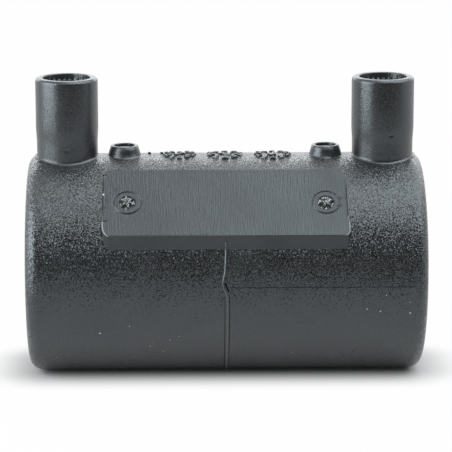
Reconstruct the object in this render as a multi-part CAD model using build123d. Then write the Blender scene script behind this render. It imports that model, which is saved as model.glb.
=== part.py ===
from build123d import *
import os
from math import cos, pi, radians, sin

# Electrofusion coupler for polyethylene pipe, in millimetres.
# Origin: centre of the bore, half way along it. +X runs along the pipe, +Z up through the
# two terminals, and the flat label plate faces -Y and up.
# Barrel, terminal shrouds, indicator collars, label plate and parting ridges are one injection
# moulding. The heating wire, the contact pins and the indicator pins are set into it.

# ---- pipe and barrel
pipe_dia = 32.0           # outside diameter of the pipes that are joined
pipe_gap = 0.25           # room between pipe and bore, on the radius
wall = 5.75               # barrel wall outside the bore
body_len = 79.3
rim_round = 2.5           # rounded outer rim at each end
rim_steps = 4             # flats that draw this rounding
mouth_bevel = 1.2         # lead-in at each mouth of the bore

# ---- heating wire
wire_dia = 0.7
wire_cover = 0.05         # least depth of the wire below the bore
wire_sides = 4            # sides of the section that draws the round wire, inside its diameter
wire_room = 0.02          # room between the wire and the moulding round it
coil_turns = 9            # turns in each fusion zone
coil_pitch = 2.4
turn_runs = 22            # straight runs that make up one turn
coil_margin = 0.7         # recess beyond the last turn at each side, from the wire's middle
lead_grip = 1.5           # length of each wire end inside its contact pin

# ---- terminal shrouds
terminal_inset = 7.85     # terminal axis from the end of the barrel
shroud_dia = 12.55
neck_step = 0.15          # the neck below the sleeve is thinner by this, on the radius
neck_height = 4.4         # top of the neck above the barrel
shroud_height = 15.9      # rim above the barrel
shroud_rim_round = 0.8
shroud_rim_steps = 2
shroud_bore_dia = 9.5
shroud_mouth_bevel = 0.2
shroud_depth = 12.5       # floor below the rim
shroud_root = 3.0         # how far the shroud is carried down into the wall

# ---- contact pins
pin_dia = 4.0
pin_drop = 3.2            # tip below the shroud's rim
pin_tip_bevel = 0.6
pin_root_dia = 3.4        # root held in the wall, thinner than the stem above the floor
pin_flange_dia = 5.4      # anchoring flange on the root
pin_flange_height = 1.2
pin_flange_cover = 1.6    # plastic between the flange and the shroud's floor
pin_foot_web = 2.6        # plastic between the coil recess and the pin's foot
pin_hole_room = 0.1       # room round the wire in the pin's foot

# ---- fusion indicators
indicator_offset = 11.5   # from the terminal axis towards the middle, over the coil
collar_height = 2.0
collar_top_dia = 5.5
collar_base_dia = 6.5
collar_root = 1.5         # how far the collar is carried down into the wall
well_dia = 4.1
well_web = 1.5            # plastic between the coil recess and the well
indicator_dia = 2.8
indicator_drop = 0.45     # top below the collar's rim
indicator_top_bevel = 0.25
indicator_foot_height = 1.0
indicator_foot_room = 0.02

# ---- label plate
plate_len = 49.1
plate_width = 16.4
plate_elevation = 50.0    # direction that the plate faces, in degrees above the horizontal
plate_sink = 0.83         # face below the barrel's surface at its nearest
plate_slip = 1.2          # plate's middle down the slope from there
plate_bevel = 1.5         # cut corners, all but the upper right one
plate_round = 2.0         # upper right corner
plate_ramp = 2.0          # length over which each end of the face climbs to the barrel
plate_root = 4.0          # how far the plate's block is carried down into the wall

# ---- parting ridges, left where the halves of the mould met
ridge_height = 0.15
upper_ridge_width = 0.45
lower_ridge_width = 0.9
ridge_root = 1.0          # how far a ridge is carried down into the wall
ridge_gap = 16.6          # strip over the crown that has no ridge

# ---- worked out
bore_r = pipe_dia / 2 + pipe_gap
body_r = bore_r + wall
terminal_x = body_len / 2 - terminal_inset
indicator_x = terminal_x - indicator_offset
run_stretch = 1 / cos(pi / turn_runs)     # radius at a turn's corners over radius at mid-run
coil_r = (bore_r + wire_cover + wire_dia / 2) * run_stretch
recess_r = coil_r + wire_dia / 2 * run_stretch + wire_room
coil_inner_x = terminal_x - coil_turns * coil_pitch
shroud_r = shroud_dia / 2
neck_top = body_r + neck_height
shroud_top = body_r + shroud_height
shroud_floor = shroud_top - shroud_depth
pin_top = shroud_top - pin_drop
pin_foot = recess_r + pin_foot_web
flange_top = shroud_floor - pin_flange_cover
collar_top = body_r + collar_height
well_floor = recess_r + well_web


def rounding(centre, radius, flats):
    """Points of a quarter round about centre, from its far side in the first direction to its top."""
    points = []
    for number in range(flats + 1):
        angle = pi / 2 * number / flats
        points.append((centre[0] + radius * cos(angle), centre[1] + radius * sin(angle)))
    return points


def turned(x, outline):
    """Turn a closed outline of (radius, z) points about the upright axis at x."""
    face = Plane.XZ * make_face(Polyline(*outline, close=True))
    return Pos(x, 0, 0) * revolve(face, Axis.Z)


def post(x, radius, z_from, z_to):
    """A plain upright cylinder on the axis of a terminal or an indicator."""
    return turned(x, [(0, z_from), (radius, z_from), (radius, z_to), (0, z_to)])


def rod(radius, x_from, x_to):
    """A plain cylinder on the pipe axis."""
    return Pos((x_from + x_to) / 2, 0, 0) * Rot(0, 90, 0) * Cylinder(radius, x_to - x_from)


def barrel():
    """Outside of the barrel, with a rounded rim at each end."""
    half = rounding((body_len / 2 - rim_round, body_r - rim_round), rim_round, rim_steps)
    other_half = [(-x, radius) for x, radius in reversed(half)]
    outline = [(body_len / 2, 0)] + half + other_half + [(-body_len / 2, 0)]
    return revolve(make_face(Polyline(*outline, close=True)), Axis.X)


def shroud(x):
    """Outside of one terminal shroud: a sleeve with a rounded rim on a slightly thinner neck."""
    neck_r = shroud_r - neck_step
    rim = rounding((shroud_r - shroud_rim_round, shroud_top - shroud_rim_round),
                   shroud_rim_round, shroud_rim_steps)
    return turned(x, [
        (0, body_r - shroud_root),
        (neck_r, body_r - shroud_root),
        (neck_r, neck_top),
        (shroud_r, neck_top + neck_step),
        *rim,
        (0, shroud_top),
    ])


def shroud_hollow(x):
    """The socket inside a shroud, with its bevelled mouth."""
    hole_r = shroud_bore_dia / 2
    return turned(x, [
        (0, shroud_floor),
        (hole_r, shroud_floor),
        (hole_r, shroud_top - shroud_mouth_bevel),
        (hole_r + shroud_mouth_bevel, shroud_top),
        (0, shroud_top),
    ])


def contact_pin_root():
    """Outline of the part of a contact pin that is held in the wall, from its foot to the shroud's floor."""
    root_r = pin_root_dia / 2
    flange_r = pin_flange_dia / 2
    return [
        (0, pin_foot),
        (root_r, pin_foot),
        (root_r, flange_top - pin_flange_height),
        (flange_r, flange_top - pin_flange_height),
        (flange_r, flange_top),
        (root_r, flange_top),
        (root_r, shroud_floor),
    ]


def contact_pin(x):
    """Turned brass pin: plain stem in the shroud, flanged and drilled root held in the wall."""
    stem_r = pin_dia / 2
    pin = turned(x, contact_pin_root() + [
        (stem_r, shroud_floor),
        (stem_r, pin_top - pin_tip_bevel),
        (stem_r - pin_tip_bevel, pin_top),
        (0, pin_top),
    ])
    lead_hole_r = wire_dia / 2 + pin_hole_room
    return pin - post(x, lead_hole_r, pin_foot, pin_foot + lead_grip + pin_hole_room)


def contact_pin_seat(x):
    """Room in the moulding for the root of a contact pin."""
    return turned(x, contact_pin_root() + [(0, shroud_floor)])


def indicator_collar(x):
    """Tapered collar round a fusion indicator; its base diameter is the one at the barrel."""
    slope = (collar_base_dia - collar_top_dia) / 2 / collar_height
    return turned(x, [
        (0, body_r - collar_root),
        (collar_base_dia / 2 + slope * collar_root, body_r - collar_root),
        (collar_top_dia / 2, collar_top),
        (0, collar_top),
    ])


def indicator_pin(x):
    """Fusion indicator: a slim stem on a foot that fills the bottom of its well."""
    stem_r = indicator_dia / 2
    foot_r = well_dia / 2 - indicator_foot_room
    foot_top = well_floor + indicator_foot_height
    top = collar_top - indicator_drop
    return turned(x, [
        (0, well_floor),
        (foot_r, well_floor),
        (foot_r, foot_top),
        (stem_r, foot_top),
        (stem_r, top - indicator_top_bevel),
        (stem_r - indicator_top_bevel, top),
        (0, top),
    ])


def plate_plane():
    """Plane of the label plate's face, x along the pipe and y up the slope."""
    facing = radians(plate_elevation)
    outward = Vector(0, -cos(facing), sin(facing))
    down_slope = Vector(0, -sin(facing), -cos(facing))
    middle = outward * (body_r - plate_sink) + down_slope * plate_slip
    return Plane(origin=middle, x_dir=(1, 0, 0), z_dir=outward)


def plate_block():
    """The plate below its face, drawn straight down into the barrel as the mould opened."""
    outline = Rectangle(plate_len, plate_width)
    upper_right = outline.vertices().sort_by(Axis.X)[-2:].sort_by(Axis.Y)[-1:]
    outline = fillet(upper_right, plate_round)
    square_corners = outline.vertices().filter_by(
        lambda corner: min(abs(corner.X) - plate_len / 2, abs(corner.Y) - plate_width / 2) > -0.001)
    outline = chamfer(square_corners, plate_bevel)
    return extrude(plate_plane() * outline, amount=plate_root, dir=(0, 0, -1))


def plate_clearing():
    """What is taken off the barrel above the plate's face, with a ramp at each end."""
    half_len = plate_len / 2
    rise = plate_sink / plate_ramp
    section = Polyline(
        (-half_len + plate_ramp, 0),
        (half_len - plate_ramp, 0),
        (half_len + plate_ramp, 2 * plate_ramp * rise),
        (-half_len - plate_ramp, 2 * plate_ramp * rise),
        close=True,
    )
    face = plate_plane()
    across = Plane(origin=face.origin, x_dir=face.x_dir, z_dir=-face.y_dir)
    return extrude(across * make_face(section), amount=plate_width / 2, both=True)


def ridge_ring(width):
    """A ridge all the way round the middle of the barrel."""
    return rod(body_r + ridge_height, -width / 2, width / 2) - rod(body_r - ridge_root, -width / 2, width / 2)


def parting_ridges():
    """The mould's joint round the middle: a thin ridge above axis height and a wider one below it."""
    room = 2 * (body_r + ridge_height)
    lower = ridge_ring(lower_ridge_width) & Pos(0, 0, -room / 2) * Box(room, room, room)
    upper = ridge_ring(upper_ridge_width) & Pos(0, 0, room / 2) * Box(room, room, room)
    return lower + upper - Pos(0, 0, room / 2) * Box(room, ridge_gap, room)


def heating_wire():
    """One wire: up out of the left pin, round both fusion zones, and up into the right pin."""
    lead_top = pin_foot + lead_grip
    corners = [(-terminal_x, 0, lead_top)]
    for start_x in (-terminal_x, coil_inner_x):
        for run in range(coil_turns * turn_runs + 1):
            angle = 2 * pi * run / turn_runs
            x = start_x + coil_pitch * run / turn_runs
            corners.append((x, coil_r * sin(angle), coil_r * cos(angle)))
    corners.append((terminal_x, 0, lead_top))
    start = Plane(origin=corners[0], x_dir=(1, 0, 0), z_dir=(0, 0, -1))
    section = start * RegularPolygon(wire_dia / 2, wire_sides)
    return sweep(section, path=Polyline(*corners), transition=Transition.RIGHT)


def wire_channels():
    """Room in the moulding for the wire's two leads and for its cross-over between the coils."""
    width = wire_dia + 2 * wire_room
    cross_over = Box(2 * coil_inner_x, width, recess_r - bore_r / 2)
    channels = Pos(0, 0, (recess_r + bore_r / 2) / 2) * cross_over
    for side in (-1, 1):
        lead = Box(width, width, pin_foot - bore_r)
        channels += Pos(side * terminal_x, 0, (pin_foot + bore_r) / 2) * lead
    return channels


def bore_space():
    """The bore with its bevelled mouths, and the recess that holds each coil."""
    half_len = body_len / 2
    outline = [
        (-half_len, 0),
        (-half_len, bore_r + mouth_bevel),
        (-half_len + mouth_bevel, bore_r),
        (half_len - mouth_bevel, bore_r),
        (half_len, bore_r + mouth_bevel),
        (half_len, 0),
    ]
    space = revolve(make_face(Polyline(*outline, close=True)), Axis.X)
    near = coil_inner_x - coil_margin
    far = terminal_x + coil_margin
    return space + rod(recess_r, -far, -near) + rod(recess_r, near, far)


def coupler_body():
    """The black moulding."""
    moulding = barrel()
    for side in (-1, 1):
        moulding += shroud(side * terminal_x)
        moulding += indicator_collar(side * indicator_x)
    moulding = moulding + parting_ridges() - plate_clearing() + plate_block()
    moulding -= bore_space()
    for side in (-1, 1):
        moulding -= shroud_hollow(side * terminal_x)
        moulding -= contact_pin_seat(side * terminal_x)
        moulding -= post(side * indicator_x, well_dia / 2, well_floor, collar_top)
    return moulding - wire_channels()


parts = {
    "coupler_body": coupler_body(),
    "heating_wire": heating_wire(),
    "contact_pin_left": contact_pin(-terminal_x),
    "contact_pin_right": contact_pin(terminal_x),
    "fusion_indicator_left": indicator_pin(-indicator_x),
    "fusion_indicator_right": indicator_pin(indicator_x),
}

os.makedirs("parts", exist_ok=True)
for name, shape in parts.items():
    export_step(shape, f"parts/{name}.step")
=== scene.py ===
import math
import bmesh
import bpy
import numpy as np
from mathutils import Matrix, Vector


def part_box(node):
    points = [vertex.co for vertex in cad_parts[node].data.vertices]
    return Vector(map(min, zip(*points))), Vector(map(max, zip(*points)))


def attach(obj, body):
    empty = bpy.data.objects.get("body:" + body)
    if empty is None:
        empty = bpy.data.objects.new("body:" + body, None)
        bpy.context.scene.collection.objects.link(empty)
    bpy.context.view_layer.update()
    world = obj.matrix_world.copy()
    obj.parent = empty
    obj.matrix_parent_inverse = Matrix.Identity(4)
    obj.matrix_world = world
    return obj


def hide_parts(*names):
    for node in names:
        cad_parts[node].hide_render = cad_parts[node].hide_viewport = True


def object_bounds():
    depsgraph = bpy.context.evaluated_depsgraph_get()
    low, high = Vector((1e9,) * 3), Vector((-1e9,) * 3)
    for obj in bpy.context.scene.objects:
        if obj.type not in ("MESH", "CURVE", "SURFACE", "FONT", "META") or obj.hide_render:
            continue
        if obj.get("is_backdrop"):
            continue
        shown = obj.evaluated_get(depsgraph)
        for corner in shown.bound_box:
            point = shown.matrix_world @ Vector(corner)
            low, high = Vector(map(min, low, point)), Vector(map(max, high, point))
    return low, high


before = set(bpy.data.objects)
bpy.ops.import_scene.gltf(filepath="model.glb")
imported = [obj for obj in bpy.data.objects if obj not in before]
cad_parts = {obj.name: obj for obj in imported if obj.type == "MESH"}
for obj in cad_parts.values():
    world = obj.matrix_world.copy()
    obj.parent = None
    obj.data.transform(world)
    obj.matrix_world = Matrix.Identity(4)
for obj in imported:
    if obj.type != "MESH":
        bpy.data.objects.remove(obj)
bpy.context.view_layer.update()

# ---- Barrel
# The socket that both pipe ends slide into. It is moulded in one shot of black polyethylene with
# the label plate, the shrouds and the collars, in a tool whose cavity was spark-eroded to a fine
# grain. Each end has a rounded rim outside and a bevelled mouth inside.
MM = 0.001
body_low, body_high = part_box("coupler_body")
pin_low, pin_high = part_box("contact_pin_right")
pip_low, pip_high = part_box("fusion_indicator_right")
terminal_x = (pin_low.x + pin_high.x) / 2 / MM
indicator_x = (pip_low.x + pip_high.x) / 2 / MM
ridge_height = 0.15
barrel_half_len = body_high.x / MM
barrel_r = body_high.y / MM - ridge_height
rim_round = 2.5
bore_r = 16.25
bore_bevel = 1.2
recess_r = 17.2
coil_turns = 9
coil_pitch = 2.4
coil_margin = 0.7
recess_near = terminal_x - coil_turns * coil_pitch - coil_margin
recess_far = terminal_x + coil_margin
well_r = 2.05
well_floor = 18.7
pit_r = well_r + 0.5
pit_floor = well_floor - 0.3
plate_len = 49.1
plate_width = 16.4
plate_tilt = math.radians(50)
plate_offset = barrel_r - 0.83
plate_slip = 1.2
plate_ramp = 0.4
ramp_left = -plate_len / 2
ramp_right = plate_len / 2 - 0.4
ramp_blend = 0.06
plate_lean = 0.011
pocket_low = -7.2
pocket_top = math.sqrt(barrel_r ** 2 - plate_offset ** 2)
pocket_depth = 0.5
pocket_left = 0.1 - plate_len / 2
pocket_right = plate_len / 2 - 0.75
pocket_corner = plate_len / 2 - 1.0


def new_piece(name, points, faces, material, degrees=38):
    """A mesh object from points in millimetres, with its faces turned outwards and smooth shading
    that breaks where two faces meet at more than the given angle."""
    mesh = bpy.data.meshes.new(name)
    mesh.from_pydata((np.asarray(points, float) * MM).tolist(), [], faces)
    shell = bmesh.new()
    shell.from_mesh(mesh)
    bmesh.ops.recalc_face_normals(shell, faces=shell.faces)
    shell.to_mesh(mesh)
    shell.free()
    mesh.shade_smooth()
    mesh.set_sharp_from_angle(angle=math.radians(degrees))
    mesh.materials.append(material)
    piece = bpy.data.objects.new(name, mesh)
    bpy.context.scene.collection.objects.link(piece)
    return piece


def skin(name, rows, material, joined=False, degrees=38):
    """Closed mesh over rows of points, each row a loop. The last row meets the first one where
    joined is set, and otherwise both are capped."""
    rows = np.asarray(rows, float)
    count, around = rows.shape[:2]
    faces = []
    for near in range(count if joined else count - 1):
        here = near * around + np.arange(around)
        there = (near + 1) % count * around + np.arange(around)
        faces += np.stack([here, np.roll(here, -1), np.roll(there, -1), there], 1).tolist()
    if not joined:
        faces.append(list(range(around)))
        faces.append(list(range((count - 1) * around, count * around)))
    return new_piece(name, rows.reshape(-1, 3), faces, material, degrees)


def in_the_moulding(piece):
    """Sets a piece of the black moulding on the coupler."""
    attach(piece, "root")


def polyethylene(name, colour, roughness, grain, waves, bore_is_dull=False, drag=0.0, rubs=0.04):
    """Black polyethylene off the tool. Grain is how far the facets of its spark-eroded texture
    lean. Waves and drag are the heights, in millimetres, of low waves and of polishing marks.
    Rubs is how much the gloss differs between rubbed and untouched places."""
    material = bpy.data.materials.new(name)
    material.use_nodes = True
    nodes = material.node_tree.nodes
    links = material.node_tree.links
    shader = nodes["Principled BSDF"]
    shader.inputs["Specular Tint"].default_value = (0.9, 1.0, 1.05, 1)
    shader.inputs["Specular IOR Level"].default_value = 0.8
    place = nodes.new("ShaderNodeTexCoord").outputs["Object"]

    def noise(scale, detail, vector=place, output="Fac"):
        texture = nodes.new("ShaderNodeTexNoise")
        texture.inputs["Scale"].default_value = scale
        texture.inputs["Detail"].default_value = detail
        links.new(vector, texture.inputs["Vector"])
        return texture.outputs[output]

    def between(value, low, high, to_low, to_high):
        spread = nodes.new("ShaderNodeMapRange")
        spread.inputs["From Min"].default_value = low
        spread.inputs["From Max"].default_value = high
        spread.inputs["To Min"].default_value = to_low
        spread.inputs["To Max"].default_value = to_high
        links.new(value, spread.inputs["Value"])
        return spread.outputs["Result"]

    def joint(operation, first, second, kind="Math"):
        step = nodes.new("ShaderNode" + kind)
        step.operation = operation
        for number, value in enumerate((first, second)):
            socket = step.inputs["Scale" if operation == "SCALE" and number else number]
            if isinstance(value, (float, tuple)):
                socket.default_value = value
            else:
                links.new(value, socket)
        return step.outputs[0]

    clouds = noise(140, 4)
    tint = nodes.new("ShaderNodeValToRGB")
    tint.color_ramp.elements[0].position = 0.4
    tint.color_ramp.elements[0].color = (*[c * 0.75 for c in colour], 1)
    tint.color_ramp.elements[1].position = 0.62
    tint.color_ramp.elements[1].color = (*[c * 1.35 for c in colour], 1)
    links.new(joint("MULTIPLY", joint("ADD", clouds, noise(3600, 2)), 0.5), tint.inputs["Fac"])
    links.new(tint.outputs["Color"], shader.inputs["Base Color"])
    rubbed = between(noise(90, 5), 0.35, 0.65, -rubs, rubs)
    dullness = joint("ADD", between(clouds, 0.3, 0.7, roughness - 0.03, roughness + 0.03), rubbed)
    height = joint("MULTIPLY", noise(2200, 2), waves)
    if drag:
        stretch = nodes.new("ShaderNodeMapping")
        stretch.inputs["Scale"].default_value = (4200, 330, 330)
        links.new(place, stretch.inputs["Vector"])
        height = joint("ADD", height, joint("MULTIPLY", noise(1, 2, stretch.outputs["Vector"]), drag))
    bump = nodes.new("ShaderNodeBump")
    bump.inputs["Strength"].default_value = 1.0
    bump.inputs["Distance"].default_value = MM
    links.new(height, bump.inputs["Height"])
    pits = nodes.new("ShaderNodeTexVoronoi")
    pits.inputs["Scale"].default_value = 4600
    links.new(place, pits.inputs["Vector"])
    lean = joint("ADD", joint("SCALE", noise(4600, 2, output="Color"), 1.0, "VectorMath"),
                 joint("SCALE", pits.outputs["Color"], 0.18, "VectorMath"), "VectorMath")
    lean = joint("SUBTRACT", lean, (0.59, 0.59, 0.59), "VectorMath")
    strength = grain
    if bore_is_dull:
        parts = nodes.new("ShaderNodeSeparateXYZ")
        links.new(place, parts.inputs["Vector"])
        squares = [joint("MULTIPLY", parts.outputs[axis], parts.outputs[axis]) for axis in ("Y", "Z")]
        radius = joint("POWER", joint("ADD", *squares), 0.5)
        inner, outer = 17.5 * MM, 18.5 * MM
        strength = between(radius, inner, outer, 0.25, grain)
        dullness = joint("ADD", dullness, between(radius, inner, outer, 0.35, 0.0))
    links.new(dullness, shader.inputs["Roughness"])
    lean = joint("SCALE", lean, strength, "VectorMath")
    unit = nodes.new("ShaderNodeVectorMath")
    unit.operation = "NORMALIZE"
    links.new(joint("ADD", bump.outputs["Normal"], lean, "VectorMath"), unit.inputs[0])
    links.new(unit.outputs[0], shader.inputs["Normal"])
    return material


def on_barrel(x, radius, angle):
    """Points at a radius round the pipe axis. The angle is 0 at the front and grows upwards."""
    x, radius, angle = np.broadcast_arrays(x, radius, angle)
    return np.stack([x, -radius * np.cos(angle), radius * np.sin(angle)], -1)


def plate_rise(along, across):
    """Height of the label plate's face above the pipe axis: flat, with a steep little ramp at each
    end that runs out into the round of the barrel."""
    face = plate_offset - plate_lean * (7.0 - np.clip(across, -10, 7))
    climb = 1 - np.minimum(along - ramp_left, ramp_right - along) / plate_ramp
    ramp = face + (barrel_r - face) * climb
    round_of_barrel = np.sqrt(np.maximum(barrel_r ** 2 - across ** 2, 0))
    end = (ramp + round_of_barrel - np.sqrt((ramp - round_of_barrel) ** 2 + ramp_blend ** 2)) / 2
    return (face + end + np.sqrt((face - end) ** 2 + (ramp_blend / 2) ** 2)) / 2


def barrel_radius(x, angle):
    """Outer radius of the barrel, with the pocket that the plate fills and the pits round the two
    indicator wells."""
    across = plate_offset * np.tan(np.clip(angle - plate_tilt, -1.2, 1.2))
    in_pocket = (x > pocket_left) & (x < pocket_right) & (np.abs(angle - plate_tilt) < 1.2)
    in_pocket &= (across > pocket_low) & (across < pocket_top - 0.02)
    in_pocket &= (np.abs(x) < pocket_corner) | (np.abs(across) < 4.9)
    radius = np.where(in_pocket, plate_rise(x, across) - pocket_depth, barrel_r)
    side = -barrel_r * np.cos(angle)
    in_well = (np.abs(x) - indicator_x) ** 2 + side ** 2 < pit_r ** 2
    return np.where(in_well & (np.sin(angle) > 0), pit_floor, radius)


rim_turn = np.linspace(0, math.pi / 2, 14)
rim_x = barrel_half_len - rim_round * (1 - np.sin(rim_turn))
rim_r = barrel_r - rim_round * (1 - np.cos(rim_turn))
along_steps = np.arange(-barrel_half_len + rim_round + 0.4, barrel_half_len - rim_round - 0.2, 0.42)
for edge in (pocket_left, pocket_right, -pocket_corner, pocket_corner):
    along_steps = np.append(along_steps, [edge - 0.02, edge + 0.02])
inside = [(barrel_half_len - 0.02, rim_r[-1] - 0.1), (barrel_half_len, bore_r + bore_bevel + 0.12),
          (barrel_half_len - 0.04, bore_r + bore_bevel + 0.02),
          (barrel_half_len - bore_bevel + 0.08, bore_r + 0.06), (barrel_half_len - bore_bevel - 0.12, bore_r),
          (recess_far + 0.05, bore_r), (recess_far, bore_r + 0.05), (recess_far, recess_r),
          (recess_near, recess_r), (recess_near, bore_r + 0.05), (recess_near - 0.05, bore_r)]
profile = [(-x, r) for x, r in zip(rim_x[::-1], rim_r[::-1])]
profile += [(x, None) for x in np.sort(along_steps)]
profile += list(zip(rim_x, rim_r)) + inside + [(-x, r) for x, r in inside[::-1]]
angles = np.linspace(0, 2 * math.pi, 240, endpoint=False)
pocket_turns = [plate_tilt + math.atan(edge / plate_offset) for edge in (pocket_low, pocket_top)]
angles = np.sort(np.append(angles, [turn + gap for turn in pocket_turns for gap in (-0.004, 0.0, 0.004)]))
rows = []
for x, radius in profile:
    radius = barrel_radius(np.full_like(angles, x), angles) if radius is None else radius
    rows.append(on_barrel(x, radius, angles))
grained = polyethylene("grained_polyethylene", (0.013, 0.013, 0.0135), 0.16, 1.7, 0.01, bore_is_dull=True)
barrel = skin("barrel", rows, grained, joined=True)
in_the_moulding(barrel)
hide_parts("coupler_body")

# ---- Label plate
# A flat pad on the front of the barrel, part of the same moulding. It ramps up to the barrel at
# both ends, and its lower wall drops straight down because the tool opened that way. The tool's
# polished insert left the prints of its two screws in the face. A paler colour on the prints' lobes
# is a painted glint, and a pale band along the end edges is a painted highlight.
plate_low = -plate_slip - plate_width / 2 - 0.3
plate_top = -plate_slip + plate_width / 2
plate_root = 4.0
plate_edge = 0.16
top_edge = 0.38
print_places = [(-19.53, -1.5), (19.62, -1.6)]
print_ring = 2.72
print_star = 1.55
flash_lines = [[(21.9, -1.2), (22.5, -0.4), (23.2, -0.75), (24.5, 0.3)], [(-23.2, 3.4), (-22.8, 1.3)],
               [(-22.6, 1.5), (-21.4, 1.7)], [(-18.2, 1.7), (-15.8, 1.7)], [(-24.4, -2.6), (-21.6, -3.6)],
               [(21.6, -2.6), (22.8, -2.2)]]


def plate_point(along, across, rise):
    """A point over the plate: along the pipe, up the slope, and out from the pipe axis."""
    along, across, rise = np.broadcast_arrays(along, across, rise)
    c, s = math.cos(plate_tilt), math.sin(plate_tilt)
    return np.stack([along, -rise * c + across * s, rise * s + across * c], -1)


def plate_ends(across):
    """Left and right end of the plate at a place up its slope, with its four corners taken off:
    the left top one straight, and the rest round."""
    below_top = plate_top - across
    above_low = across - plate_low

    def round_corner(gap, wide, high):
        reach = np.clip(1 - gap / high, 0, 1)
        return wide * (1 - np.sqrt(1 - reach ** 2))

    left = -plate_len / 2 + 1.5 * np.clip(1 - below_top / 2.3, 0, 1) + round_corner(above_low, 1.4, 2.8)
    right = plate_len / 2 - 0.3 - 0.02 * above_low
    right = right - round_corner(below_top, 1.8, 2.3) - round_corner(above_low, 1.1, 1.4)
    return left, right


def fade(value):
    """0 below 0, 1 above 1, and a smooth climb between."""
    value = np.clip(value, 0, 1)
    return value * value * (3 - 2 * value)


def distance_to_line(along, across, line):
    """Distance from each point to a bent line on the face."""
    nearest = np.full(np.shape(along), 1e9)
    for (x0, y0), (x1, y1) in zip(line[:-1], line[1:]):
        dx, dy = x1 - x0, y1 - y0
        share = np.clip(((along - x0) * dx + (across - y0) * dy) / (dx * dx + dy * dy), 0, 1)
        nearest = np.minimum(nearest, np.hypot(along - x0 - share * dx, across - y0 - share * dy))
    return nearest


def face_relief(along, across):
    """What the tool's insert left on the face: the two screw prints and the flash lines."""
    relief = np.zeros(np.shape(along))
    for number, (x, y) in enumerate(print_places):
        du, dv = along - x, across - y
        reach = np.hypot(du, dv)
        turn = np.arctan2(dv, du) + 0.35 + 0.5 * number
        relief += 0.05 * fade((print_ring - 0.1 - reach) / 0.12)
        relief -= 0.14 * np.exp(-((reach - print_ring) / 0.11) ** 2)
        star = 1.18 + 0.36 * np.cos(6 * turn)
        knob = fade((star - reach) / 0.22)
        rough = 0.16 * np.sin(5.1 * du + 2.3 * dv + number)
        rough += 0.1 * np.sin(3.7 * dv - 6.1 * du + 2 * number)
        relief += knob * (0.4 + rough) - 0.35 * fade((0.5 - reach) / 0.3)
        relief -= 0.35 * fade((1.66 - reach) / 0.15) * (1 - knob)
    for line in flash_lines:
        depth = 0.06 + 0.04 * np.sin(2.9 * along + 1.7 * across)
        relief -= depth * np.exp(-(distance_to_line(along, across, line) / 0.1) ** 2)
    return relief


def graded(length, coarse, fine_places, fine_reach=3.05, fine=0.08):
    """Steps from 0 to length, close together at both ends and over the fine places."""
    lead = np.array([0, 0.02, 0.05, 0.08, 0.11, 0.16, 0.22, 0.3, 0.38, 0.45, 0.52, 0.6])
    steps = np.arange(0.9, length - 0.8, coarse)
    for middle in fine_places:
        steps = steps[np.abs(steps - middle) > fine_reach + coarse / 2]
        steps = np.append(steps, np.arange(middle - fine_reach, middle + fine_reach, fine))
    return np.concatenate([lead, np.sort(steps), length - lead[::-1]])


across_steps = plate_low + graded(plate_top - plate_low, 0.4, [print_places[0][1] - plate_low])
share = graded(plate_len, 0.4, [x + plate_len / 2 for x, y in print_places]) / plate_len
left, right = plate_ends(across_steps)
along = left[:, None] + (right - left)[:, None] * share[None, :]
across = np.repeat(across_steps[:, None], len(share), 1)
top_gap = plate_top - across
low_gap = across - plate_low
end_gap = np.minimum(along - left[:, None], right[:, None] - along)
drop = np.clip(1 - np.minimum(end_gap, low_gap) / plate_edge, 0, 1)
top_drop = np.clip(1 - top_gap / top_edge, 0, 1)
rise = plate_rise(along, across) + face_relief(along, across)
rise -= 0.05 * np.exp(-((low_gap - 0.2) / 0.06) ** 2) * fade((2.0 - along) / 6)
proud = fade((np.abs(across) - 5.2) / 1.2)
rise -= proud * plate_edge * (1 - np.sqrt(1 - drop ** 2)) + top_edge * (1 - np.sqrt(1 - top_drop ** 2))
high, wide = along.shape
numbers = np.arange(high * wide).reshape(high, wide)
faces = np.stack([numbers[:-1, :-1], numbers[:-1, 1:], numbers[1:, 1:], numbers[1:, :-1]], -1)
faces = faces.reshape(-1, 4).tolist()
loop = np.concatenate([numbers[0, :-1], numbers[:-1, -1], numbers[-1, :0:-1], numbers[:0:-1, 0]])
points = plate_point(along, across, rise).reshape(-1, 3)
low_loop = len(points) + np.arange(len(loop))
points = np.concatenate([points, points[loop] - np.array([0, 0, plate_root])])
faces += np.stack([loop, np.roll(loop, -1), np.roll(low_loop, -1), low_loop], 1).tolist()
faces.append(low_loop.tolist())
plate_finish = polyethylene("plate_polyethylene", (0.013, 0.014, 0.0155), 0.36, 0.14, 0.03,
                            drag=0.06, rubs=0.1)
plate_finish.node_tree.nodes["Principled BSDF"].inputs["Specular IOR Level"].default_value = 0.66
label_plate = new_piece("label_plate", points, faces, plate_finish)
# The prints' raised lobes get a paler, warmer colour and a stronger reflection: a painted glint.
print_painted_glint = polyethylene("print_painted_glint", (0.05, 0.045, 0.042), 0.14, 0.3, 0.02)
print_painted_glint.node_tree.nodes["Principled BSDF"].inputs["IOR"].default_value = 1.95
# A pale grey band just inside the plate's end edges: a painted highlight.
edge_painted_highlight = polyethylene("edge_painted_highlight", (0.16, 0.165, 0.17), 0.3, 0.1, 0.01)
label_plate.data.materials.append(print_painted_glint)
label_plate.data.materials.append(edge_painted_highlight)
# Faces over the prints' lobes get the painted glint, and faces just inside the end edges get the painted
# highlight.
for number, corners in enumerate(faces[:(high - 1) * (wide - 1)]):
    x, y, gap = (values.flat[corners[0]] for values in (along, across, end_gap))
    highlight_below = plate_top - 0.6 if x > 0 else plate_low + 4.5
    if min(math.hypot(x - print_x, y - print_y) for print_x, print_y in print_places) < print_star:
        label_plate.data.polygons[number].material_index = 1
    elif 0.04 < gap < 0.25 and y < highlight_below:
        label_plate.data.polygons[number].material_index = 2
in_the_moulding(label_plate)
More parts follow.
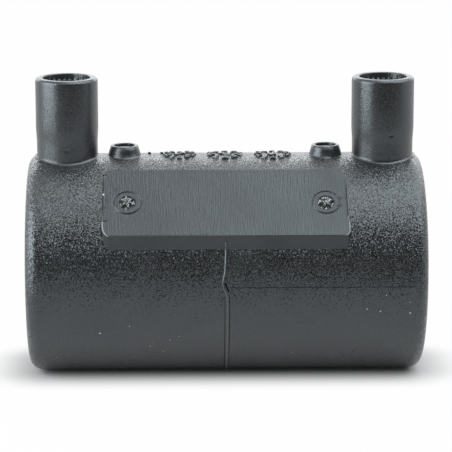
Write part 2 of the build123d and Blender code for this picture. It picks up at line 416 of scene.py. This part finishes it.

# ---- Parting ridges
# Where the halves of the tool met, a little plastic crept into the joint. It left a ridge round
# the barrel, thin and wandering at the front and wide with two edges below, and a hairline on
# the right. Near-black ribbons beside the ridge, along the hairline and at the jog are painted
# shade, and a pale ribbon along its crest is a painted highlight.
plate_wall = (plate_offset - 0.18) * math.cos(plate_tilt) - plate_low * math.sin(plate_tilt)
ridge_course = [(22.5, -0.22, 0.17), (16, -0.22, 0.17), (7, -0.4, 0.17), (4.2, -0.66, 0.15), (1.1, -0.9, 0.14),
                (-1.6, -0.62, 0.15), (-3.8, -0.22, 0.2), (-5, -0.05, 0.34), (-7, 0.0, 0.38), (-30, 0.02, 0.38),
                (-60, 0.1, 0.4), (-90, 0.0, 0.45), (-178, 0.0, 0.45), (-182, 0.0, 0.22), (-247, 0.0, 0.22)]
course_turn, course_x, course_half = np.array(ridge_course)[::-1].T
smooth_black = polyethylene("smooth_polyethylene", (0.016, 0.016, 0.0165), 0.31, 0.3, 0.012)
rows = []
for turn in np.append(np.arange(-246, -8, 2.0), np.arange(-8, 22.6, 0.5)):
    x = np.interp(turn, course_turn, course_x)
    half = np.interp(turn, course_turn, course_half)
    lift = ridge_height * min(1, (turn + 247) / 4, (24 - turn) / 3)
    foot = max(barrel_r, plate_wall / math.cos(math.radians(turn))) if turn > 0 else barrel_r
    flat = max(0.0, half - 0.17) * 0.9
    flank = [(half + 0.04, -0.5), (half + 0.01, 0), (half - 0.06, lift * 0.45), (flat + 0.02, lift * 0.95)]
    section = [(-reach, up) for reach, up in flank] + [(0, lift * (0.8 if flat else 1.0))] + flank[::-1]
    rows.append([on_barrel(x + reach, foot + up, math.radians(turn)) for reach, up in section])
parting_ridge = skin("parting_ridge", rows, smooth_black)
in_the_moulding(parting_ridge)
# A near-black matte finish with almost no reflection: painted shade for the narrow slots beside the parting ridge.
painted_shade_ribbon = polyethylene("painted_shade_ribbon", (0.004, 0.004, 0.004), 0.8, 0.1, 0.01)
painted_shade_ribbon.node_tree.nodes["Principled BSDF"].inputs["Specular IOR Level"].default_value = 0.05


def fine_line(name, places, half, finish=painted_shade_ribbon, height=0.02):
    """A thin ribbon along a joint of the tool through (x, degrees): near-black painted shade with the default
    finish, a painted highlight with the crest's finish.
    """
    section = ((-half, -0.1), (-half * 0.7, height), (half * 0.7, height), (half, -0.1))
    rows = []
    for number, (x, turn) in enumerate(places):
        way = np.subtract(places[min(number + 1, len(places) - 1)], places[max(number - 1, 0)])
        way = way * (1, math.radians(barrel_r))
        side = np.array([-way[1], way[0]]) / np.hypot(*way)
        rows.append([on_barrel(x + side[0] * reach, barrel_r + up,
                               math.radians(turn) + side[1] * reach / barrel_r) for reach, up in section])
    in_the_moulding(skin(name, rows, finish))


# The hairline, the two edges of the lower ridge and the jog are dark ribbons of painted shade.
fine_line("parting_hairline", [(x, -0.9 + 0.12 * math.sin(x * 1.7) + 0.08 * math.sin(x * 4.1))
                               for x in np.arange(0.6, barrel_half_len - rim_round, 0.5)], 0.07)
for side, word in ((-1, "left"), (1, "right")):
    fine_line("ridge_side_" + word, [(side * 0.45 + 0.02, turn) for turn in np.arange(-5.0, -80, -2.0)], 0.065)
fine_line("jog_painted_shade", [(-0.42, 1.6), (-0.2, 0.0), (0.12, -1.8), (0.34, -3.0)], 0.22)
# A pale grey ribbon along the ridge's crest: a painted highlight.
crest_painted_highlight = polyethylene("painted_highlight_crest", (0.085, 0.085, 0.088), 0.3, 0.2, 0.01)
fine_line("ridge_crest", [(-0.9, 1.3), (-0.72, -0.8), (-0.45, -2.6), (-0.12, -4.6), (0.0, -7.0)]
          + [(0.02 + 0.03 * math.sin(turn * 0.9), turn) for turn in np.arange(-9.0, -80, -2.0)], 0.1,
          crest_painted_highlight, 0.148)

# ---- Terminal shrouds
# Sleeves round the two contacts that guide the welding unit's plugs. They are part of the
# moulding, satin outside, with a slightly thinner neck, a rounded rim, fine grip teeth inside
# below the mouth, and a small bead at the foot.
shroud_r = 6.275
neck_step = 0.15
neck_top = barrel_r + 4.4
shroud_top = body_high.z / MM
shroud_rim = 0.8
socket_r = 4.75
socket_bevel = 0.2
socket_floor = shroud_top - 12.5
teeth = 26
tooth_height = 0.3
teeth_top = shroud_top - 1.35
teeth_foot = shroud_top - 6
foot_bead = 0.5


def crown_height(radius, turn):
    """Height of the barrel under a circle round an upright axis."""
    return np.sqrt(barrel_r ** 2 - (radius * np.sin(turn)) ** 2)


def upright(x, radius, height, turn):
    """Points on a circle round the upright axis at x."""
    radius, height, turn = np.broadcast_arrays(radius, height, turn)
    return np.stack([x + radius * np.cos(turn), radius * np.sin(turn), height], -1)


def dent(turn, height, place):
    """Depth of a small mark in a shroud's side; place is its turn, height, half width and depth."""
    at, level, half, depth = place
    return depth * np.exp(-((turn - at) * shroud_r / half) ** 2 - ((height - level) / 0.22) ** 2)


turns = np.linspace(0, 2 * math.pi, teeth * 6, endpoint=False)
neck_r = shroud_r - neck_step
for side, word, mark in ((-1, "left", (4.72, 23.95, 0.45, 0.12)), (1, "right", (4.92, 26.8, 0.45, 0.12))):
    x = side * terminal_x
    outer_r = neck_r + foot_bead
    rows = [upright(x, outer_r, crown_height(outer_r, turns) - 1.0, turns)]
    for bend in np.linspace(0, math.pi / 2, 7):
        radius = neck_r + foot_bead * (1 - math.sin(bend))
        height = crown_height(radius, turns) + foot_bead * (1 - math.cos(bend)) - 0.01
        rows.append(upright(x, radius, height, turns))
    for share_up in np.linspace(0.04, 1, 40):
        height = crown_height(neck_r, turns) + foot_bead
        height = height + (neck_top + 2.5 - height) * share_up
        swell = neck_step * fade((height - neck_top + 1.8) / 3.6)
        rows.append(upright(x, neck_r + swell - dent(turns, height, mark), height, turns))
    for bend in np.linspace(0, math.pi / 2, 9):
        radius = shroud_r - shroud_rim * (1 - math.cos(bend))
        rows.append(upright(x, radius, shroud_top - shroud_rim * (1 - math.sin(bend)), turns))
    for bend in np.linspace(0, math.pi / 2, 5):
        radius = socket_r + socket_bevel * (1 - math.sin(bend))
        rows.append(upright(x, radius, shroud_top - socket_bevel * (1 - math.cos(bend)), turns))
    tooth = tooth_height * fade(0.5 + 1.2 * np.cos(teeth * turns))
    socket = [(0, teeth_top + 0.25), (0.3 * tooth, teeth_top + 0.15), (tooth, teeth_top - 0.15),
              (tooth, teeth_foot), (0, teeth_foot - 0.2), (0, socket_floor + 0.2), (0.2, socket_floor)]
    rows += [upright(x, socket_r - proud, height, turns) for proud, height in socket]
    in_the_moulding(skin("shroud_" + word, rows, smooth_black))

# ---- Indicator collars
# Low tapered collars on the crown, one over each coil, moulded round the wells in which the
# indicator pins rise when the melt pushes them.
collar_top = barrel_r + 2.0
collar_top_r = 2.75
collar_base_r = 3.25
collar_base = barrel_r + 0.25
collar_round = 0.18
for side, word in ((-1, "left"), (1, "right")):
    x = side * indicator_x
    uneven = 0.05 * np.sin(3 * turns + side) + 0.03 * np.sin(7 * turns)
    bead_r = collar_base_r + 0.35
    rows = [upright(x, bead_r, crown_height(bead_r, turns) - 0.8, turns),
            upright(x, bead_r + uneven, crown_height(bead_r, turns) - 0.02, turns),
            upright(x, collar_base_r + 0.12 + uneven, crown_height(collar_base_r + 0.1, turns) + 0.05, turns),
            upright(x, collar_base_r, crown_height(collar_base_r, turns) + 0.25, turns)]
    for share_up in (0.5, 1.0):
        radius = collar_base_r + (collar_top_r + 0.04 - collar_base_r) * share_up
        rows.append(upright(x, radius, collar_base + (collar_top - collar_round - collar_base) * share_up, turns))
    for bend in np.linspace(0.2, math.pi / 2, 5):
        radius = collar_top_r - collar_round * (1 - math.cos(bend))
        rows.append(upright(x, radius, collar_top - collar_round * (1 - math.sin(bend)), turns))
    rows += [upright(x, well_r + 0.14 + uneven * 0.6, collar_top, turns),
             upright(x, well_r + 0.03, collar_top - 0.08, turns),
             upright(x, well_r, collar_top - 0.2, turns), upright(x, well_r, well_floor, turns)]
    in_the_moulding(skin("indicator_collar_" + word, rows, smooth_black))

# ---- Mould marks on the crown
# Three round dials between the collars, such as a tool carries to date its mouldings, and two
# small dots beside them. They are cut into the tool, so they stand up from the plastic.
mark_height = 0.32


def on_crown(x, y, lift):
    """A point on the crown: along the pipe, across it, and above the barrel."""
    return on_barrel(x, barrel_r + lift, math.pi / 2 + np.asarray(y) / barrel_r)


def raised_bar(name, start, end, width, lift=mark_height):
    """A low bar with sloping sides between two points of the crown."""
    start, end = np.array(start, float), np.array(end, float)
    way = (end - start) / np.linalg.norm(end - start)
    side = np.array([-way[1], way[0]])
    rows = []
    for spread, up in ((0.06, -0.15), (0.04, 0.0), (0.0, lift * 0.85), (-0.04, lift)):
        corners = []
        for a, b in ((-1, -1), (1, -1), (1, 1), (-1, 1)):
            middle = end if a > 0 else start
            corners.append(middle + way * a * spread + side * b * (width / 2 + spread))
        rows.append([on_crown(x, y, up) for x, y in corners])
    in_the_moulding(skin(name, rows, smooth_black))


for number, (x, radius, tick_count) in enumerate(((-9.2, 3.35, 12), (-0.05, 3.6, 10), (9.6, 3.7, 12))):
    name = "dial_" + "abc"[number]
    for tick in range(tick_count):
        turn = 2 * math.pi * (tick + 0.5 * number) / tick_count
        way = np.array([math.cos(turn), math.sin(turn)])
        near, far = (radius - 1.45, radius - 0.75) if tick % 2 else (radius - 1.2, radius - 0.8)
        raised_bar(f"{name}_tick_{tick}", (x, 0) + way * near, (x, 0) + way * far, 0.34)
        bend = turn + math.pi / tick_count * np.linspace(-0.62, 0.62, 7)
        top = mark_height * (1.15 if tick % 3 else 0.9)
        rows = []
        for step, turn_on in enumerate(bend):
            lift = top * (0.6 if step in (0, len(bend) - 1) else 1.0)
            section = [(-0.1, -0.15), (-0.02, lift * 0.6), (0.08, lift), (0.4, lift), (0.5, lift * 0.6),
                       (0.58, -0.15)]
            rows.append([on_crown(x + (radius - inset) * math.cos(turn_on),
                                  (radius - inset) * math.sin(turn_on), up) for inset, up in section])
        in_the_moulding(skin(f"{name}_arc_{tick}", rows, smooth_black))
    way = np.array([math.cos(0.7 + 1.9 * number), math.sin(0.7 + 1.9 * number)])
    across_way = np.array([-way[1], way[0]])
    raised_bar(name + "_pointer", (x, 0) - way * 1.3, (x, 0) + way * 1.5, 0.45)
    for barb, reach in (("_barb_a", 0.75), ("_barb_b", -0.75)):
        raised_bar(name + barb, (x, 0) + way * 1.45, (x, 0) + way * 0.6 + across_way * reach, 0.32)
for number, (x, y) in enumerate(((-15.3, 1.4), (-12.8, 1.3))):
    raised_bar(f"crown_dot_{number}", (x - 0.25, y), (x + 0.25, y + 0.1), 0.55)

# ---- Heating wire
# One resistance wire, wound in two coils just under the bore. Current through it melts the
# plastic on both sides of the joint. Its ends run up into the feet of the contact pins, and the
# moulding stands up between its turns.
wire_r = 0.35
coil_r = bore_r + 0.05 + wire_r
coil_starts = (-terminal_x, terminal_x - coil_turns * coil_pitch)
turn_steps = 60
lead_top = 21.2
path = [(-terminal_x, 0, lead_top)]
for start in coil_starts:
    for step in range(coil_turns * turn_steps + 1):
        x = start + coil_pitch * step / turn_steps
        angle = 2 * math.pi * step / turn_steps
        path.append((x, coil_r * math.sin(angle), coil_r * math.cos(angle)))
path.append((terminal_x, 0, lead_top))
curve = bpy.data.curves.new("heating_wire_line", "CURVE")
curve.dimensions = "3D"
curve.bevel_depth = wire_r * MM
curve.bevel_resolution = 3
curve.use_fill_caps = True
line = curve.splines.new("POLY")
line.points.add(len(path) - 1)
for point, place in zip(line.points, path):
    point.co = (*[c * MM for c in place], 1)
holder = bpy.data.objects.new("heating_wire_line", curve)
wire_mesh = bpy.data.meshes.new_from_object(holder)
wire_mesh.name = "heating_wire_round"
wire_mesh.shade_smooth()
bpy.data.objects.remove(holder)


def drawn_metal(name, colour, roughness, scratch, fine_scale):
    """Bare metal with a faint tarnish and fine marks from drawing or turning, scratch millimetres
    deep and as close along each axis as fine_scale says."""
    material = bpy.data.materials.new(name)
    material.use_nodes = True
    nodes = material.node_tree.nodes
    links = material.node_tree.links
    shader = nodes["Principled BSDF"]
    shader.inputs["Metallic"].default_value = 1.0
    place = nodes.new("ShaderNodeTexCoord").outputs["Object"]
    tarnish = nodes.new("ShaderNodeTexNoise")
    tarnish.inputs["Scale"].default_value = 500
    tarnish.inputs["Detail"].default_value = 4
    links.new(place, tarnish.inputs["Vector"])
    tint = nodes.new("ShaderNodeValToRGB")
    tint.color_ramp.elements[0].position = 0.3
    tint.color_ramp.elements[0].color = (*[c * 0.75 for c in colour], 1)
    tint.color_ramp.elements[1].position = 0.6
    tint.color_ramp.elements[1].color = (*colour, 1)
    links.new(tarnish.outputs["Fac"], tint.inputs["Fac"])
    links.new(tint.outputs["Color"], shader.inputs["Base Color"])
    dull = nodes.new("ShaderNodeMapRange")
    dull.inputs["To Min"].default_value = roughness + 0.12
    dull.inputs["To Max"].default_value = roughness - 0.08
    links.new(tarnish.outputs["Fac"], dull.inputs["Value"])
    links.new(dull.outputs["Result"], shader.inputs["Roughness"])
    stretch = nodes.new("ShaderNodeMapping")
    stretch.inputs["Scale"].default_value = fine_scale
    links.new(place, stretch.inputs["Vector"])
    marks = nodes.new("ShaderNodeTexNoise")
    marks.inputs["Scale"].default_value = 1
    marks.inputs["Detail"].default_value = 2
    links.new(stretch.outputs["Vector"], marks.inputs["Vector"])
    bump = nodes.new("ShaderNodeBump")
    bump.inputs["Strength"].default_value = 0.5
    bump.inputs["Distance"].default_value = scratch * MM
    links.new(marks.outputs["Fac"], bump.inputs["Height"])
    links.new(bump.outputs["Normal"], shader.inputs["Normal"])
    return material


wire_mesh.materials.append(drawn_metal("copper_nickel_wire", (0.62, 0.38, 0.24), 0.34, 0.01, (6000, 500, 500)))
heating_wire_round = bpy.data.objects.new("heating_wire_round", wire_mesh)
bpy.context.scene.collection.objects.link(heating_wire_round)
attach(heating_wire_round, "root")
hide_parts("heating_wire")

land_half = (coil_pitch - 2 * wire_r) / 2 - 0.12
land_turns = 8.6
flank = [(land_half + 0.05, recess_r + 0.2), (land_half, bore_r + 0.3), (land_half - 0.15, bore_r + 0.12),
         (land_half - 0.4, bore_r + 0.06)]
section = [(-reach, radius) for reach, radius in flank] + flank[::-1]
for start, word in zip(coil_starts, ("left", "right")):
    rows = []
    for step in range(int(land_turns * turn_steps) + 1):
        x = start + coil_pitch * (step / turn_steps + 0.7)
        angle = 2 * math.pi * (step / turn_steps + 0.2)
        rows.append([(x + reach, radius * math.sin(angle), radius * math.cos(angle)) for reach, radius in section])
    in_the_moulding(skin("coil_land_" + word, rows, smooth_black))

# ---- Contact pins
# Turned brass pins, 4 mm across, one in each shroud. A flange on the root holds each in the
# moulding, and the wire's end sits in its drilled foot.
brass = drawn_metal("turned_brass", (0.78, 0.62, 0.34), 0.3, 0.012, (300, 300, 9000))
pin_turns = np.linspace(0, 2 * math.pi, 64, endpoint=False)
pin_top = pin_high.z / MM
pin_foot = pin_low.z / MM
pin_r, root_r, hole_r, flange_r = 2.0, 1.7, 0.45, 2.65
tip_round = 0.6
flange_top = socket_floor - 1.6
flange_low = flange_top - 1.2
for side, word in ((-1, "left"), (1, "right")):
    outline = [(hole_r, pin_foot + 1.6), (hole_r, pin_foot), (root_r - 0.1, pin_foot), (root_r, pin_foot + 0.1),
               (root_r, flange_low), (flange_r, flange_low), (flange_r, flange_top), (root_r, flange_top),
               (root_r, socket_floor), (pin_r - 0.03, socket_floor + 0.02), (pin_r, socket_floor + 0.06),
               (pin_r, pin_top - 0.62)]
    outline += [(pin_r - tip_round + tip_round * math.cos(bend), pin_top - tip_round + tip_round * math.sin(bend))
                for bend in np.linspace(0.1, math.pi / 2, 7)]
    outline += [(0.7, pin_top), (0.06, pin_top)]
    rows = [upright(side * terminal_x, radius, height, pin_turns) for radius, height in outline]
    pin = skin("pin_" + word, rows, brass, degrees=30)
    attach(pin, "root")
    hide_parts("contact_pin_" + word)

# ---- Indicator pins
# Slim plastic pins on a foot that closes the bottom of each well. They stand just below the
# collar's rim until the melt lifts them, so they show that a joint has been fused.
indicator_plastic = polyethylene("indicator_plastic", (0.06, 0.061, 0.063), 0.34, 0.1, 0.01)
pip_top = pip_high.z / MM
pip_foot = pip_low.z / MM
pip_r = 1.4
pip_foot_r = 2.0
pip_round = 0.25
for side, word in ((-1, "left"), (1, "right")):
    outline = [(pip_foot_r - 0.1, pip_foot), (pip_foot_r, pip_foot + 0.1), (pip_foot_r, pip_foot + 0.9),
               (pip_foot_r - 0.1, pip_foot + 1.0), (pip_r + 0.05, pip_foot + 1.05), (pip_r, pip_foot + 1.15),
               (pip_r, pip_top - pip_round)]
    outline += [(pip_r - pip_round + pip_round * math.cos(bend), pip_top - pip_round + pip_round * math.sin(bend))
                for bend in np.linspace(0.2, math.pi / 2, 6)]
    outline += [(0.6, pip_top - 0.02), (0.05, pip_top - 0.05)]
    rows = [upright(side * indicator_x, radius, height, pin_turns) for radius, height in outline]
    pip = skin("indicator_" + word, rows, indicator_plastic, degrees=30)
    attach(pip, "root")
    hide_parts("fusion_indicator_" + word)

# ---- Rubbed places and dust
# A rubbed streak and a few short scratches from handling, and specks of pale dust that cling to
# the plastic.
rubbed_black = polyethylene("rubbed_polyethylene", (0.018, 0.018, 0.019), 0.3, 0.1, 0.01)


def rubbed_streak(name, course, half):
    """A thin smooth ribbon that lies on the barrel along a course of (x, degrees)."""
    rows = []
    steps = np.linspace(0, len(course) - 1, 6 * len(course))
    course = np.array(course, float)
    for step in steps:
        x = np.interp(step, range(len(course)), course[:, 0])
        turn = math.radians(np.interp(step, range(len(course)), course[:, 1]))
        wide = half * math.sin(math.pi * (0.08 + 0.84 * step / (len(course) - 1)))
        rows.append([on_barrel(x + a, barrel_r + up, turn)
                     for a, up in ((-wide, -0.1), (-wide * 0.7, 0.012), (wide * 0.7, 0.012), (wide, -0.1))])
    in_the_moulding(skin(name, rows, rubbed_black))


rubbed_streak("streak_a", [(-28.3, 47.0), (-27.9, 41.0), (-27.2, 34.5), (-26.4, 28.8)], 0.22)
rubbed_streak("streak_b", [(-24.9, 52.0), (-25.4, 44.0), (-25.0, 36.0)], 0.12)
rubbed_streak("scratch_a", [(-34.6, -48.0), (-33.5, -44.5)], 0.06)
rubbed_streak("scratch_b", [(-32.9, -48.0), (-32.6, -46.0)], 0.07)
rubbed_streak("scratch_c", [(-9.9, -28.0), (-9.8, -25.0)], 0.06)

dust_white = bpy.data.materials.new("dust")
dust_white.use_nodes = True
nodes = dust_white.node_tree.nodes
shader = nodes["Principled BSDF"]
shader.inputs["Roughness"].default_value = 0.9
flecks = nodes.new("ShaderNodeTexNoise")
flecks.inputs["Scale"].default_value = 9000
tint = nodes.new("ShaderNodeValToRGB")
tint.color_ramp.elements[0].color = (0.3, 0.3, 0.29, 1)
tint.color_ramp.elements[1].color = (0.75, 0.75, 0.72, 1)
dust_white.node_tree.links.new(nodes.new("ShaderNodeTexCoord").outputs["Object"], flecks.inputs["Vector"])
dust_white.node_tree.links.new(flecks.outputs["Fac"], tint.inputs["Fac"])
dust_white.node_tree.links.new(tint.outputs["Color"], shader.inputs["Base Color"])
draw = np.random.default_rng(11)
specks = [(-25.0, -27.1, 0.2), (-19.2, -22.5, 0.12), (-11.2, -32.5, 0.12), (-9.4, -29.6, 0.1),
          (-12.6, -41.9, 0.12), (-15.2, -37.3, 0.11), (27.5, -13.0, 0.14), (30.1, -14.3, 0.16),
          (36.0, -15.5, 0.15), (13.0, -43.7, 0.12), (31.2, -5.3, 0.1), (35.9, -9.2, 0.1),
          (-33.8, -47.5, 0.1), (-24.2, 49.6, 0.22)]
specks += [(draw.uniform(-36, 36), draw.uniform(-230, -70), draw.uniform(0.06, 0.14)) for speck in range(26)]
speck_corners = 7
points, faces = [], []
for x, degrees, size in specks:
    base = len(points)
    turn = math.radians(degrees)
    for ring, (spread, lift) in enumerate(((1.0, -0.05), (0.85, 0.35), (0.35, 0.6))):
        for corner in range(speck_corners):
            way = 2 * math.pi * corner / speck_corners + ring * 0.4
            reach = size * spread * draw.uniform(0.7, 1.25)
            points.append(on_barrel(x + reach * math.cos(way), barrel_r + size * lift,
                                    turn + reach * math.sin(way) / barrel_r))
    low_ring, middle_ring, top_ring = (base + ring * speck_corners + np.arange(speck_corners) for ring in range(3))
    for here, there in ((low_ring, middle_ring), (middle_ring, top_ring)):
        faces += np.stack([here, np.roll(here, -1), np.roll(there, -1), there], 1).tolist()
    faces += [low_ring.tolist(), top_ring.tolist()]
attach(new_piece("dust_specks", points, faces, dust_white), "root")

# ---- Table, light and camera
# The coupler lies on a plain white table. To camera and glossy rays the table glows white, a
# painted glow, which fades out in a box round the coupler's footprint, a painted shadow. A wide soft
# lamp hangs over it, a long one stands behind it and a small one at the left. A dark card behind
# the camera keeps the front of the barrel black.
table_painted_glow_and_shadow = bpy.data.materials.new("table_painted_glow_and_shadow")
table_painted_glow_and_shadow.use_nodes = True
nodes = table_painted_glow_and_shadow.node_tree.nodes
links = table_painted_glow_and_shadow.node_tree.links
surface = nodes["Principled BSDF"]
surface.inputs["Base Color"].default_value = (0.4, 0.4, 0.4, 1)
surface.inputs["Roughness"].default_value = 0.9
surface.inputs["Specular IOR Level"].default_value = 0.2


def ray_kinds(nodes, links):
    """Whether a ray is the camera's own, and whether it is a glossy or a transmission ray."""
    ray = nodes.new("ShaderNodeLightPath")
    either = nodes.new("ShaderNodeMath")
    either.operation = "MAXIMUM"
    links.new(ray.outputs["Is Glossy Ray"], either.inputs[0])
    links.new(ray.outputs["Is Transmission Ray"], either.inputs[1])
    return ray.outputs["Is Camera Ray"], either.outputs[0]


place = nodes.new("ShaderNodeTexCoord").outputs["Object"]
absolute = nodes.new("ShaderNodeVectorMath")
absolute.operation = "ABSOLUTE"
links.new(place, absolute.inputs[0])
# Painted glow and painted shadow: the glow's share climbs with distance from a box round the coupler, so within it
# only the table's dim diffuse colour shows.
shares = []
painted_shadow_length = 36
for ray, painted_shadow_width, reach in zip(ray_kinds(nodes, links), (4, 5), (15, 20)):
    beyond = nodes.new("ShaderNodeVectorMath")
    beyond.operation = "SUBTRACT"
    beyond.inputs[1].default_value = (painted_shadow_length * MM, painted_shadow_width * MM, 1)
    links.new(absolute.outputs[0], beyond.inputs[0])
    outside = nodes.new("ShaderNodeVectorMath")
    outside.operation = "MAXIMUM"
    outside.inputs[1].default_value = (0, 0, 0)
    links.new(beyond.outputs[0], outside.inputs[0])
    away = nodes.new("ShaderNodeVectorMath")
    away.operation = "LENGTH"
    links.new(outside.outputs[0], away.inputs[0])
    spread = nodes.new("ShaderNodeMapRange")
    spread.interpolation_type = "SMOOTHSTEP"
    spread.inputs["From Max"].default_value = reach * MM
    spread.inputs["To Max"].default_value = 0.98
    links.new(away.outputs["Value"], spread.inputs["Value"])
    painted_glow_share = nodes.new("ShaderNodeMath")
    painted_glow_share.operation = "MULTIPLY"
    links.new(spread.outputs["Result"], painted_glow_share.inputs[0])
    links.new(ray, painted_glow_share.inputs[1])
    shares.append(painted_glow_share.outputs[0])
total = nodes.new("ShaderNodeMath")
total.operation = "ADD"
links.new(shares[0], total.inputs[0])
links.new(shares[1], total.inputs[1])
painted_glow = nodes.new("ShaderNodeEmission")
painted_glow.inputs["Color"].default_value = (1, 1, 1, 1)
blend = nodes.new("ShaderNodeMixShader")
links.new(total.outputs[0], blend.inputs[0])
links.new(surface.outputs[0], blend.inputs[1])
links.new(painted_glow.outputs[0], blend.inputs[2])
links.new(blend.outputs[0], nodes["Material Output"].inputs["Surface"])

black = bpy.data.materials.new("black_card")
black.use_nodes = True
surface = black.node_tree.nodes["Principled BSDF"]
surface.inputs["Base Color"].default_value = (0.01, 0.01, 0.01, 1)
surface.inputs["Roughness"].default_value = 1.0
surface.inputs["Specular IOR Level"].default_value = 0.0


def stage_sheet(name, corners, material):
    """A flat sheet of the studio, which isn't part of the coupler."""
    mesh = bpy.data.meshes.new(name)
    mesh.from_pydata(corners, [], [(0, 1, 2, 3)])
    mesh.materials.append(material)
    sheet = bpy.data.objects.new(name, mesh)
    bpy.context.scene.collection.objects.link(sheet)
    sheet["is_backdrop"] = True
    return sheet


table_z = body_low.z
stage_sheet("table", [(-3, -3, table_z), (3, -3, table_z), (3, 3, table_z), (-3, 3, table_z)], table_painted_glow_and_shadow)
card_places = [(-1.6, -0.3, table_z), (1.6, -0.3, table_z), (1.6, -0.95, 0.85), (-1.6, -0.95, 0.85)]
card = stage_sheet("card", card_places, black)
card.visible_camera = False
card.visible_diffuse = False
card.visible_shadow = False

world = bpy.data.worlds.new("studio")
world.use_nodes = True
nodes = world.node_tree.nodes
links = world.node_tree.links
level = nodes.new("ShaderNodeMapRange")
level.inputs["To Min"].default_value = 0.55
level.inputs["To Max"].default_value = 1.0
seen = nodes.new("ShaderNodeMath")
seen.operation = "MAXIMUM"
for number, ray in enumerate(ray_kinds(nodes, links)):
    links.new(ray, seen.inputs[number])
links.new(seen.outputs[0], level.inputs["Value"])
nodes["Background"].inputs["Color"].default_value = (1, 1, 1, 1)
links.new(level.outputs["Result"], nodes["Background"].inputs["Strength"])
bpy.context.scene.world = world


def soft_lamp(name, width, depth, brightness, place, aim):
    """A rectangular soft lamp of an even brightness that faces a point."""
    lamp = bpy.data.lights.new(name, "AREA")
    lamp.shape = "RECTANGLE"
    lamp.size = width
    lamp.size_y = depth
    lamp.energy = brightness * math.pi * width * depth
    lamp.color = (0.94, 1.0, 1.03)
    holder = bpy.data.objects.new(name, lamp)
    holder.location = place
    holder.rotation_euler = (Vector(aim) - Vector(place)).to_track_quat("-Z", "Y").to_euler()
    holder.visible_camera = False
    bpy.context.scene.collection.objects.link(holder)


soft_lamp("overhead_lamp", 1.3, 1.05, 2.5, (0.64, -0.045, 0.75), (0.64, -0.045, 0))
soft_lamp("back_lamp", 1.8, 0.35, 1.9, (0, 0.9, 0.33), (0, 0, 0))
soft_lamp("left_lamp", 0.26, 0.26, 5.0, (-0.25, -0.1, 0.112), (0, 0, 0.02))

azimuth = math.radians(-1.106)
elevation = math.radians(12.60)
roll = math.radians(-0.061)
distance = 0.4967
target = np.array([0.195, 0, 7.135]) * MM
back = np.array([math.sin(azimuth) * math.cos(elevation), -math.cos(azimuth) * math.cos(elevation),
                 math.sin(elevation)])
level_right = np.array([math.cos(azimuth), math.sin(azimuth), 0])
level_up = np.cross(back, level_right)
right_way = math.cos(roll) * level_right + math.sin(roll) * level_up
up_way = -math.sin(roll) * level_right + math.cos(roll) * level_up
place = target + back * distance
lens = bpy.data.cameras.new("camera")
lens.sensor_width = 36
lens.lens = 194.3
lens.clip_start = 0.01
camera = bpy.data.objects.new("camera", lens)
camera.matrix_world = Matrix([[right_way[i], up_way[i], back[i], place[i]] for i in range(3)] + [[0, 0, 0, 1]])
bpy.context.scene.collection.objects.link(camera)
bpy.context.scene.camera = camera
bpy.context.scene.view_settings.view_transform = "Standard"

low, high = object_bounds()
